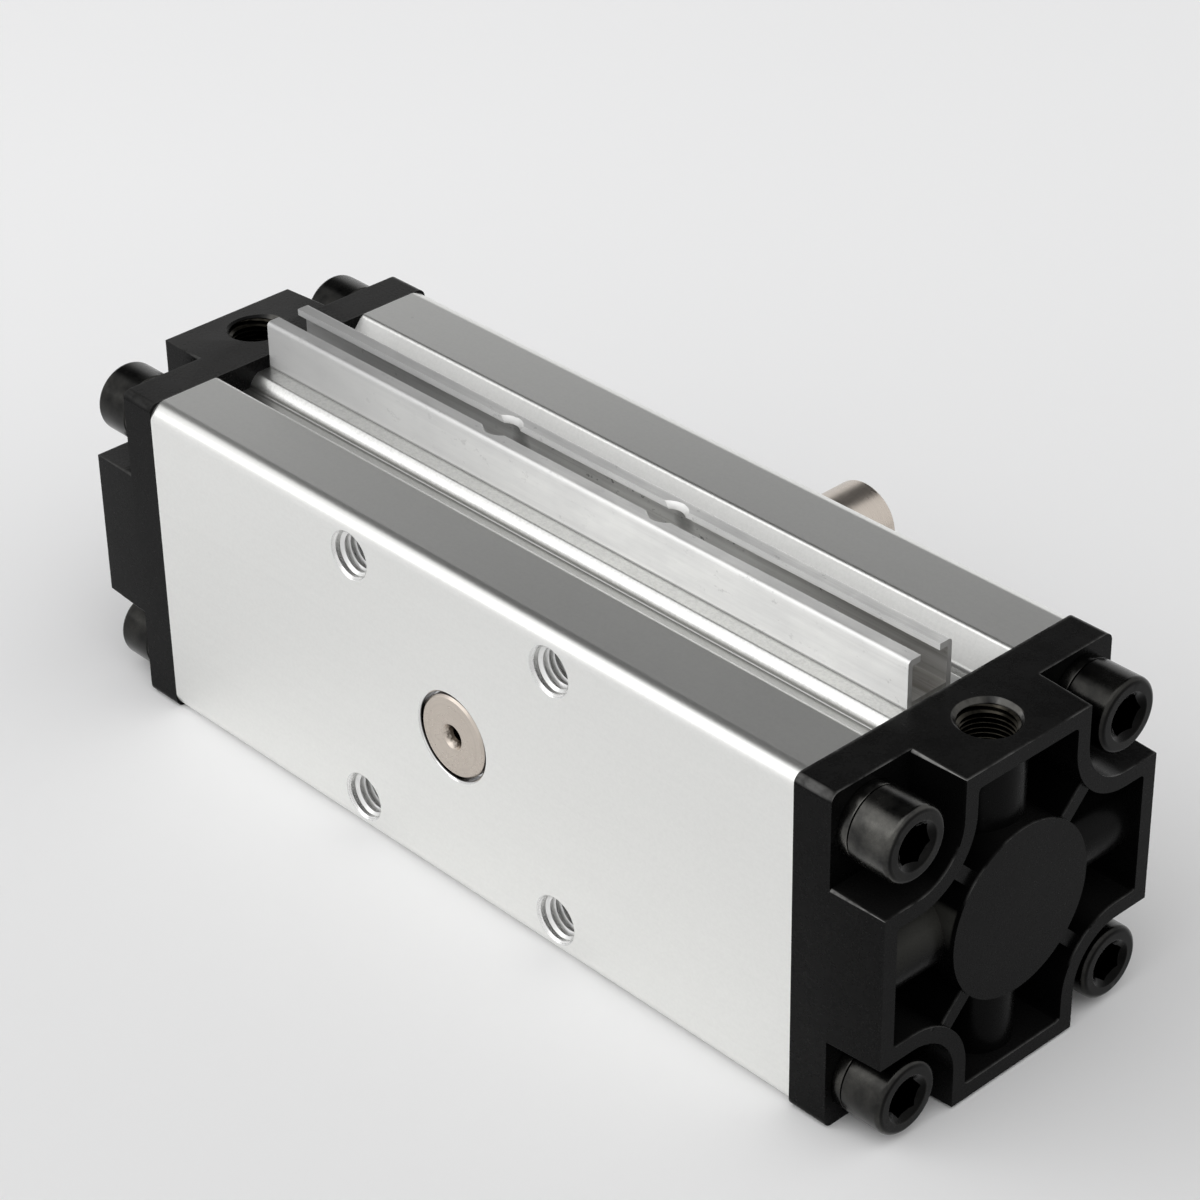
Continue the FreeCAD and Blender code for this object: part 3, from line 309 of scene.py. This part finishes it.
def black_oxide(name, seed, lift=1.0):
    """Black oxide steel: dark, mottled, streaked round the barrel, greyer on the edges."""
    g = Graph(name, metal=1.0)
    blot = g.noise(g.mapped((170, 170, 170), offset=(seed, 0, 0)), detail=5, rough=0.62)
    fine = g.noise(g.mapped((2400, 2400, 2400), offset=(0, seed, 0)), detail=2)
    draw = g.noise(g.mapped((1500, 130, 130), offset=(seed, 0, 0)), detail=2)
    col = g.ramp(blot, [(0.34, (0.026 * lift, 0.026 * lift, 0.026 * lift)),
                        (0.68, (0.105 * lift, 0.103 * lift, 0.095 * lift))])
    edge = g.edges(0.40 * MM)
    bright_edges = g.math("MULTIPLY", edge, g.span(blot, 0.35, 0.6, 0.25, 1.0))
    geo = g.node("ShaderNodeNewGeometry")
    sep = g.node("ShaderNodeSeparateXYZ")
    g.link(geo.outputs["Normal"], sep.inputs[0])
    # painted shade: the flat end faces of the heads are made darker
    face = g.span(g.math("ABSOLUTE", sep.outputs[0]), 0.80, 0.95, 0.0, 0.90)
    col = g.blend(face, col, (0.007, 0.007, 0.007))
    x, y, z = g.axes()
    bolt = g.distance(g.math("ABSOLUTE", y), 23.5 * MM, g.math("ABSOLUTE", g.math("SUBTRACT", z, 31 * MM)), 23.5 * MM)
    # painted shade down the hex sockets
    socket = g.span(bolt, 4.05 * MM, 4.25 * MM, 0.92, 0.0)
    col = g.blend(g.math("MULTIPLY", bright_edges, 0.55), col, (0.19, 0.185, 0.175))
    col = g.blend(socket, col, (0.004, 0.004, 0.004))
    # painted shade: darker on the left-hand screws, on the shaft side and on the lower ones
    position_shade = g.math("MAXIMUM", g.span(x, -80 * MM, 80 * MM, 0.60, 0.0), g.span(y, -10 * MM, 10 * MM, 0.0, 0.66))
    position_shade = g.math("MAXIMUM", position_shade, g.span(z, 21 * MM, 41 * MM, 0.42, 0.0))
    col = g.blend(position_shade, col, (0.004, 0.004, 0.004))
    rough = g.math("ADD", g.span(blot, 0.3, 0.7, 0.19, 0.28), g.span(fine, 0.3, 0.7, -0.02, 0.03))
    n = g.bump(fine, 0.10, 0.02 * MM)
    n = g.bump(draw, 0.10, 0.03 * MM, n)
    return g.done(col, rough, n)


def rail_aluminium():
    """Raw extruded channel: dull cloudy skin, faint die lines along X, crossing
    scuffs, and dark specks down in the channel."""
    g = Graph("rail_aluminium", metal=1.0)
    x, y, z = g.axes()
    lines = g.noise(g.mapped((5, 1500, 1500)), detail=3, rough=0.65)
    cloud = g.noise(g.mapped((90, 240, 240), offset=(0.4, 1.1, 0.2)), detail=5, rough=0.6)
    scuff = g.noise(g.mapped((900, 110, 110), turn=(0, 0.35, 0.5)), detail=3, distort=0.6)
    scuff = g.math("MULTIPLY", g.span(scuff, 0.58, 0.70, 0.0, 1.0), g.span(cloud, 0.45, 0.62, 0.0, 1.0))
    col = g.ramp(cloud, [(0.32, (0.86, 0.86, 0.852)), (0.68, (0.975, 0.975, 0.958))])
    streak = g.noise(g.mapped((9, 420, 420), offset=(0.2, 0.6, 1.9)), detail=4, rough=0.7)
    col = g.blend(g.span(lines, 0.45, 0.75, 0.0, 0.20), col, (0.58, 0.58, 0.58))
    col = g.blend(g.span(streak, 0.48, 0.72, 0.0, 0.24), col, (0.62, 0.62, 0.618))
    inside = g.math("MULTIPLY", g.span(g.math("ABSOLUTE", y), 3.95 * MM, 3.75 * MM, 0.0, 1.0),
                    g.span(z, 67.3 * MM, 67.1 * MM, 0.0, 1.0))
    speck = g.noise(g.mapped((360, 520, 520), offset=(0.7, 2.0, 0.3)), detail=4, rough=0.7)
    speck = g.math("MULTIPLY", g.span(speck, 0.61, 0.66, 0.0, 1.0),
                   g.span(g.noise(g.mapped((60, 60, 60), offset=(2.7, 0.0, 1.3)), detail=1), 0.44, 0.58, 0.15, 1.0))
    col = g.blend(g.math("MULTIPLY", speck, g.span(inside, 0.0, 1.0, 0.22, 0.85)), col, (0.12, 0.12, 0.12))
    # darker inside the channel, more towards the right end
    channel_dark = g.math("ADD", g.span(x, 30 * MM, 74 * MM, 0.14, 0.70), g.span(streak, 0.42, 0.60, -0.10, 0.22))
    col = g.blend(g.math("MULTIPLY", inside, channel_dark), col, (0.20, 0.187, 0.168))
    geo = g.node("ShaderNodeNewGeometry")
    sep = g.node("ShaderNodeSeparateXYZ")
    g.link(geo.outputs["Normal"], sep.inputs[0])
    sawn = g.span(g.math("ABSOLUTE", sep.outputs[0]), 0.75, 0.92, 0.0, 0.60)
    col = g.blend(sawn, col, (0.36, 0.352, 0.335))
    metal = g.math("MAXIMUM", inside, g.span(g.math("ABSOLUTE", sep.outputs[1]), 0.80, 0.95, 1.0, 0.22))
    # painted shade: the rail darkens towards its left end
    col = g.blend(g.span(x, -62 * MM, 8 * MM, 0.72, 0.0), col, (0.45, 0.45, 0.45))
    # painted shade round the rail screws below the lips, dark through the notches
    bolt = g.distance(g.math("ABSOLUTE", g.math("ADD", x, 1.0 * MM)), 19.5 * MM, y, 0.0)
    notch_shade = g.math("MULTIPLY", g.span(g.math("ADD", bolt, g.span(cloud, 0.3, 0.7, -0.5 * MM, 0.5 * MM)),
                                       3.3 * MM, 4.4 * MM, 0.80, 0.0), g.span(z, 66.9 * MM, 66.4 * MM, 0.0, 1.0))
    col = g.blend(notch_shade, col, (0.10, 0.098, 0.092))
    # painted shadow line along the foot of the rail
    foot_shade = g.span(z, 60.02 * MM, 59.80 * MM, 0.0, 0.75)
    col = g.blend(foot_shade, col, (0.22, 0.22, 0.215))
    rough = g.math("ADD", g.span(cloud, 0.3, 0.7, 0.52, 0.60), g.math("MULTIPLY", scuff, 0.10))
    n = g.bump(lines, 0.06, 0.03 * MM)
    n = g.bump(cloud, 0.05, 0.05 * MM, n)
    n = g.bump(scuff, 0.15, -0.02 * MM, n)
    return g.done(col, rough, n, metal)


def turned_metal(name, low, high, rough_lo, rough_hi, axis, centre, ring=5200.0, seed=0.0, metal=1.0, depth=0.02,
                 shade_radius=0.0):
    """Lathe-turned metal: fine rings round the axis on end faces and along it on
    the barrel, with light handling variation and painted shade down a centre hole."""
    g = Graph(name, metal=metal)
    x, y, z = g.axes()
    if axis == "y":
        along, radial = y, g.distance(x, centre[0], z, centre[2])
    else:
        along, radial = x, g.distance(y, centre[1], z, centre[2])
    comb = g.node("ShaderNodeCombineXYZ")
    g.put(comb.inputs[0], g.math("MULTIPLY", along, ring))
    g.put(comb.inputs[1], g.math("MULTIPLY", radial, ring))
    comb.inputs[2].default_value = seed
    rings = g.noise(comb.outputs[0], detail=2)
    broad = g.noise(g.mapped((70, 70, 70), offset=(seed, 0, 0)), detail=4)
    fine = g.noise(g.mapped((1900, 1900, 1900), offset=(0, seed, 0)), detail=2)
    col = g.ramp(broad, [(0.3, low), (0.72, high)])
    col = g.blend(g.span(rings, 0.4, 0.75, 0.0, 0.22), col, tuple(c * 0.62 for c in low))
    if shade_radius:
        hole_shade = g.math("ADD", radial, g.span(fine, 0.2, 0.8, -0.25 * MM, 0.25 * MM))
        col = g.blend(g.span(hole_shade, shade_radius * 0.78, shade_radius, 0.95, 0.0), col, (0.040, 0.030, 0.021))
    rough = g.math("ADD", g.span(broad, 0.3, 0.7, rough_lo, rough_hi), g.span(fine, 0.3, 0.7, -0.03, 0.04))
    n = g.bump(rings, 0.18, depth * MM)
    n = g.bump(fine, 0.08, 0.01 * MM, n)
    return g.done(col, rough, n)


def plated(name, low, high, rough_lo, rough_hi, seed):
    """Plated small steel parts: mottled bright plating with finer grain."""
    g = Graph(name, metal=1.0)
    broad = g.noise(g.mapped((420, 420, 420), offset=(seed, 0, 0)), detail=2)
    fine = g.noise(g.mapped((3000, 3000, 3000), offset=(0, seed, 0)), detail=1)
    col = g.ramp(broad, [(0.3, low), (0.72, high)])
    edge = g.edges(0.25 * MM)
    col = g.blend(g.math("MULTIPLY", edge, 0.3), col, tuple(min(1.0, c * 1.15) for c in high))
    rough = g.math("ADD", g.span(broad, 0.3, 0.7, rough_lo, rough_hi), g.span(fine, 0.3, 0.7, -0.02, 0.03))
    n = g.bump(fine, 0.12, 0.006 * MM)
    return g.done(col, rough, n)


def milled_steel():
    """Rack bar: milling lines across the bar, oil-darkened."""
    g = Graph("rack_steel", metal=1.0)
    mill = g.noise(g.mapped((2600, 60, 900)), detail=2)
    broad = g.noise(g.mapped((60, 60, 60)), detail=4)
    col = g.ramp(broad, [(0.3, (0.40, 0.40, 0.405)), (0.7, (0.56, 0.56, 0.56))])
    rough = g.math("ADD", g.span(broad, 0.3, 0.7, 0.26, 0.38), g.span(mill, 0.3, 0.7, -0.04, 0.06))
    return g.done(col, rough, g.bump(mill, 0.3, 0.03 * MM))


def moulded(name, low, high, rough_lo, rough_hi, scale, seed, spec=0.5, depth=0.03):
    """Moulded rubber or resin: fine grain, slow colour drift, dusty variation."""
    g = Graph(name, spec=spec)
    broad = g.noise(g.mapped((90, 90, 90), offset=(seed, 0, 0)), detail=4)
    grain = g.noise(g.mapped((scale, scale, scale), offset=(0, seed, 0)), detail=3)
    col = g.ramp(broad, [(0.3, low), (0.7, high)])
    rough = g.math("ADD", g.span(broad, 0.3, 0.7, rough_lo, rough_hi), g.span(grain, 0.3, 0.7, -0.04, 0.05))
    return g.done(col, rough, g.bump(grain, 0.3, depth * MM))


def sintered(name):
    """Pressed magnet ring: granular dark grey."""
    g = Graph(name, metal=0.6)
    grain = g.noise(g.mapped((1400, 1400, 1400)), detail=4, rough=0.7)
    cell = g.cells(g.mapped((900, 900, 900)))
    col = g.ramp(grain, [(0.3, (0.11, 0.11, 0.115)), (0.7, (0.24, 0.24, 0.245))])
    rough = g.span(cell.outputs["Distance"], 0.0, 0.8, 0.45, 0.62)
    return g.done(col, rough, g.bump(grain, 0.4, 0.04 * MM))


def cut_thread(name, low, high, rough_lo, rough_hi, seed):
    """Freshly tapped thread flanks: bright, with chatter along the helix."""
    g = Graph(name, metal=1.0)
    chat = g.noise(g.mapped((1700, 1700, 1700), offset=(seed, 0, 0)), detail=3)
    broad = g.noise(g.mapped((300, 300, 300), offset=(0, seed, 0)), detail=3)
    col = g.ramp(broad, [(0.3, low), (0.7, high)])
    rough = g.span(chat, 0.3, 0.7, rough_lo, rough_hi)
    return g.done(col, rough, g.bump(chat, 0.2, 0.03 * MM))


axis_pt = (0.0, 0.0, 31 * MM)
MATS = {
    "satin_aluminium": satin_aluminium(),
    "black_casting": black_casting(),
    "black_screw": black_oxide("black_screw", 1.3),
    "black_washer": black_oxide("black_washer", 4.1, 1.15),
    "seal_rubber": moulded("seal_rubber", (0.010, 0.010, 0.010), (0.022, 0.022, 0.022), 0.42, 0.58, 1800, 2.2),
    "rail_aluminium": rail_aluminium(),
    "zinc_screw": plated("zinc_screw", (0.58, 0.58, 0.57), (0.74, 0.74, 0.72), 0.24, 0.38, 0.8),
    "retainer_aluminium": turned_metal("retainer_aluminium", (0.70, 0.70, 0.70), (0.82, 0.82, 0.82), 0.26, 0.36,
                                       "y", axis_pt, 4200.0, 1.1),
    "bearing_steel": turned_metal("bearing_steel", (0.62, 0.62, 0.63), (0.74, 0.74, 0.75), 0.12, 0.20,
                                  "y", axis_pt, 7000.0, 2.6, depth=0.008),
    "shaft_steel": turned_metal("shaft_steel", (0.575, 0.512, 0.452), (0.655, 0.590, 0.525), 0.25, 0.33,
                                "y", axis_pt, 5600.0, 3.3, depth=0.008, shade_radius=2.10 * MM),
    "cage_brass": plated("cage_brass", (0.62, 0.46, 0.20), (0.78, 0.60, 0.30), 0.24, 0.36, 1.9),
    "rack_steel": milled_steel(),
    "slider_resin": moulded("slider_resin", (0.70, 0.67, 0.58), (0.80, 0.77, 0.69), 0.38, 0.50, 1500, 3.7),
    "piston_aluminium": turned_metal("piston_aluminium", (0.66, 0.665, 0.67), (0.78, 0.785, 0.79), 0.24, 0.34,
                                     "x", axis_pt, 3800.0, 0.5),
    "magnet_grey": sintered("magnet_grey"),
}
SLOT_OF = {s["node"]: s["material_slot"] for s in frame["record"]["subparts"]}
for name, obj in frame["nodes"].items():
    for i in range(max(1, len(obj.material_slots))):
        if i < len(obj.material_slots):
            obj.material_slots[i].material = MATS[SLOT_OF[name]]
        else:
            obj.data.materials.append(MATS[SLOT_OF[name]])


# ------------------------------------------------------------------ edge breaks
def tidy_group():
    """Joins the faces of a carried-over mesh and drops its stored normals."""
    t = bpy.data.node_groups.new("tidy", "GeometryNodeTree")
    t.interface.new_socket("Geometry", in_out="INPUT", socket_type="NodeSocketGeometry")
    t.interface.new_socket("Geometry", in_out="OUTPUT", socket_type="NodeSocketGeometry")
    a, b = t.nodes.new("NodeGroupInput"), t.nodes.new("NodeGroupOutput")
    drop = t.nodes.new("GeometryNodeRemoveAttribute")
    drop.inputs["Name"].default_value = "custom_normal"
    join = t.nodes.new("GeometryNodeMergeByDistance")
    join.inputs["Distance"].default_value = 2e-6
    t.links.new(a.outputs[0], drop.inputs[0])
    t.links.new(drop.outputs[0], join.inputs[0])
    t.links.new(join.outputs[0], b.inputs[0])
    return t


def smooth_group(angle):
    """Smooth faces, sharp only across edges steeper than the angle."""
    t = bpy.data.node_groups.new("smooth", "GeometryNodeTree")
    t.interface.new_socket("Geometry", in_out="INPUT", socket_type="NodeSocketGeometry")
    t.interface.new_socket("Geometry", in_out="OUTPUT", socket_type="NodeSocketGeometry")
    a, b = t.nodes.new("NodeGroupInput"), t.nodes.new("NodeGroupOutput")
    face = t.nodes.new("GeometryNodeSetShadeSmooth")
    edge = t.nodes.new("GeometryNodeSetShadeSmooth")
    edge.domain = "EDGE"
    ang = t.nodes.new("GeometryNodeInputMeshEdgeAngle")
    less = t.nodes.new("FunctionNodeCompare")
    less.operation = "LESS_THAN"
    less.inputs[1].default_value = math.radians(angle)
    t.links.new(ang.outputs[0], less.inputs[0])
    t.links.new(less.outputs[0], edge.inputs["Shade Smooth"])
    t.links.new(a.outputs[0], face.inputs[0])
    t.links.new(face.outputs[0], edge.inputs[0])
    t.links.new(edge.outputs[0], b.inputs[0])
    return t


TIDY, SMOOTH = tidy_group(), smooth_group(38.0)


def break_edges(node, width, segments=2, limit=32.0):
    o = frame["nodes"][node]
    o.modifiers.new("tidy", "NODES").node_group = TIDY
    d = o.modifiers.new("flats", "DECIMATE")
    d.decimate_type = "DISSOLVE"
    d.angle_limit = math.radians(0.4)
    b = o.modifiers.new("edge_break", "BEVEL")
    b.width = width
    b.segments = segments
    b.limit_method = "ANGLE"
    b.angle_limit = math.radians(limit)
    b.use_clamp_overlap = True
    b.miter_outer = "MITER_ARC"
    o.modifiers.new("smooth", "NODES").node_group = SMOOTH
    w = o.modifiers.new("weights", "WEIGHTED_NORMAL")
    w.keep_sharp = True


for side in ("right", "left"):
    break_edges("end_cover_" + side, 0.45 * MM, 3)
    break_edges("cover_screws_" + side, 0.24 * MM)
    break_edges("spring_washers_" + side, 0.18 * MM)
break_edges("cylinder_body", 0.16 * MM)
break_edges("switch_rail", 0.14 * MM)
break_edges("bearing_retainer", 0.18 * MM)


# ------------------------------------------------------------------ new pieces
def add_piece(name, verts, faces, mat, body="housing", angle=38.0):
    me = bpy.data.meshes.new(name)
    me.from_pydata([tuple(v) for v in verts], [], faces)
    bm = bmesh.new()
    bm.from_mesh(me)
    bmesh.ops.recalc_face_normals(bm, faces=bm.faces)
    for f in bm.faces:
        f.smooth = True
    bm.to_mesh(me)
    bm.free()
    me.materials.append(mat)
    o = bpy.data.objects.new(name, me)
    scene.collection.objects.link(o)
    o.modifiers.new("smooth", "NODES").node_group = SMOOTH
    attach(o, body)
    return o


def thread(name, mouth, inward, r_wall, r_crest, pitch, length, mat, taper=0.0, step=40):
    """Right-hand internal thread: one ridge wound up the wall of a hole."""
    d = Vector(inward)
    u = Vector((0, 0, 1)) if abs(d.z) < 0.5 else d.orthogonal().normalized()
    v = d.cross(u)
    turns = length / pitch
    count = int(turns * step)
    verts, faces = [], []
    for i in range(count + 1):
        t = i / count
        a = 2 * math.pi * turns * t
        fade = min(1.0, t * turns / 0.6, (1 - t) * turns / 0.6)
        shrink = taper * length * t
        rw = r_wall - shrink + 0.04 * MM
        rc = rw - (r_wall + 0.04 * MM - r_crest) * max(fade, 0.05)
        out = u * math.cos(a) + v * math.sin(a)
        for r, w in ((rw, -0.47), (rc, -0.10), (rc, 0.10), (rw, 0.47)):
            verts.append(Vector(mouth) + d * (length * t + w * pitch) + out * r)
    for i in range(count):
        p, q = 4 * i, 4 * i + 4
        for k in range(4):
            n = (k + 1) % 4
            faces.append((p + k, p + n, q + n, q + k))
    faces.append((0, 1, 2, 3))
    e = 4 * count
    faces.append((e + 3, e + 2, e + 1, e))
    return add_piece(name, verts, faces, mat)


bright = cut_thread("tapped_aluminium", (0.78, 0.78, 0.772), (0.93, 0.93, 0.922), 0.30, 0.44, 0.7)
# the port thread is bare cut metal coloured nearly black: painted shade inside the port
dark = cut_thread("tapped_port", (0.005, 0.0046, 0.0038), (0.044, 0.040, 0.032), 0.12, 0.22, 2.9)
k = 0
for sy in (-1, 1):
    for sx in (-1, 1):
        for sz in (-1, 1):
            k += 1
            thread("mount_thread_%d" % k, (24 * MM * sx, sy * 29.9 * MM, (31 + 24 * sz) * MM), (0, -sy, 0),
                   4.0 * MM, 3.36 * MM, 1.25 * MM, 10.0 * MM, bright)
for sx, side in ((1, "right"), (-1, "left")):
    thread("port_thread_" + side, (86.3 * MM * sx, 0, 60.9 * MM), (0, 0, -1),
           4.86 * MM, 4.32 * MM, 0.907 * MM, 8.2 * MM, dark)



def ejector_marks(name, sx):
    """Witness marks of the casting's ejector pins: eight shallow ringed spots with a
    small pip, one in each half of the four pockets, standing on the pocket floor."""
    outline = [(0.16, 0.30), (0.30, 0.13), (0.46, 0.05), (1.15, 0.04), (1.30, 0.14), (1.45, 0.18), (1.58, 0.12),
               (1.66, -0.06)]
    verts, faces = [], []
    count = 36
    for quarter in range(4):
        for spread in (-8.4, 8.4):
            a = math.pi / 2 * quarter
            cy = 21.3 * math.cos(a) - spread * math.sin(a)
            cz = 21.3 * math.sin(a) + spread * math.cos(a)
            first = len(verts)
            verts.append(Vector((sx * (82.0 + 0.34), cy, 31 + cz)) * MM)
            for r, h in outline:
                for i in range(count):
                    t = 2 * math.pi * i / count
                    verts.append(Vector((sx * (82.0 + h), cy + r * math.cos(t), 31 + cz + r * math.sin(t))) * MM)
            for i in range(count):
                j = (i + 1) % count
                faces.append((first, first + 1 + i, first + 1 + j))
                for k in range(len(outline) - 1):
                    p, q = first + 1 + k * count, first + 1 + (k + 1) * count
                    faces.append((p + i, q + i, q + j, p + j))
    return add_piece(name, verts, faces, MATS["black_casting"], angle=60.0)


ejector_marks("ejector_marks_right", 1)
ejector_marks("ejector_marks_left", -1)

# ------------------------------------------------------------------ stage
mesh = bpy.data.meshes.new("floor")
# open under the flat of the body, which covers the opening, so that the underside
# can be looked at from below
s, ox, oy = 4.0, 74 * MM, 26 * MM
rim = [(-s, -s), (s, -s), (s, s), (-s, s), (-ox, -oy), (ox, -oy), (ox, oy), (-ox, oy)]
mesh.from_pydata([(px, py, -1e-5) for px, py in rim], [], [(k, (k + 1) % 4, (k + 1) % 4 + 4, k + 4) for k in range(4)])
floor = bpy.data.objects.new("floor", mesh)
scene.collection.objects.link(floor)
g = Graph("studio_floor", spec=0.15, rough=0.75)
tone = g.noise(g.mapped((1.5, 1.5, 1.5)), detail=3)
fx, fy, fz = g.axes()
# painted light: the floor is paler towards the back left and darker towards the front right
lean = g.math("ADD", g.math("MULTIPLY", fx, -0.73), g.math("MULTIPLY", fy, 0.68))
lean = g.math("ADD", g.span(lean, -0.22, 0.30, 0.0, 1.0, smooth=True), g.span(tone, 0.3, 0.7, -0.06, 0.06))
g.done(g.ramp(lean, [(0.0, (0.800, 0.800, 0.802)), (1.0, (0.965, 0.965, 0.97))]))
clear = g.node("ShaderNodeBsdfTransparent")
below = g.node("ShaderNodeMixShader")
g.link(g.node("ShaderNodeNewGeometry").outputs["Backfacing"], below.inputs[0])
g.link(g.bsdf.outputs[0], below.inputs[1])
g.link(clear.outputs[0], below.inputs[2])
g.link(below.outputs[0], g.out.inputs[0])
mesh.materials.append(g.mat)


def softbox(name, toward, far, wide, tall, radiance, tint=(1, 1, 1)):
    lamp = bpy.data.lights.new(name, "AREA")
    lamp.shape = "RECTANGLE"
    lamp.size, lamp.size_y = wide, tall
    lamp.energy = radiance * math.pi * wide * tall
    lamp.color = tint
    o = bpy.data.objects.new(name, lamp)
    o.location = Vector((0, 0, 0.03)) + Vector(toward).normalized() * far
    o.rotation_euler = (Vector((0, 0, 0.03)) - o.location).to_track_quat("-Z", "Y").to_euler()
    scene.collection.objects.link(o)
    return o


def toward(az, el):
    az, el = math.radians(az), math.radians(el)
    return Vector((math.cos(el) * math.cos(az), math.cos(el) * math.sin(az), math.sin(el)))


softbox("key", toward(246, 46), 1.15, 1.00, 0.60, 0.72)
softbox("core", toward(228, 25), 1.15, 0.36, 0.38, 1.25)
softbox("top", toward(-55, 66), 1.40, 1.20, 1.20, 0.70)

# pale studio all round, with an unlit part of the room high at the back left
world = bpy.data.worlds.new("world")
scene.world = world
world.use_nodes = True
wn = world.node_tree
bg = wn.nodes["Background"]
tc = wn.nodes.new("ShaderNodeTexCoord")


def lobe(az, el, stops):
    """Grey level by angle (degrees) from a direction, nearest first."""
    d = wn.nodes.new("ShaderNodeVectorMath")
    d.operation = "DOT_PRODUCT"
    d.inputs[1].default_value = toward(az, el)
    wn.links.new(tc.outputs["Generated"], d.inputs[0])
    r = wn.nodes.new("ShaderNodeValToRGB")
    wn.links.new(d.outputs["Value"], r.inputs[0])
    e = r.color_ramp.elements
    while len(e) < len(stops):
        e.new(0.5)
    for el_, (ang, v) in zip(e, sorted(stops, reverse=True)):
        el_.position = max(0.0, math.cos(math.radians(ang)))
        el_.color = (v, v, v, 1)
    return r.outputs[0]


wn.links.new(lobe(136.0, 57.4, [(0, 0.11), (12.0, 0.09), (18.0, 0.02), (28.0, 0.02), (34.8, 0.90), (90, 0.90)]), bg.inputs[0])
bg.inputs[1].default_value = 1.0
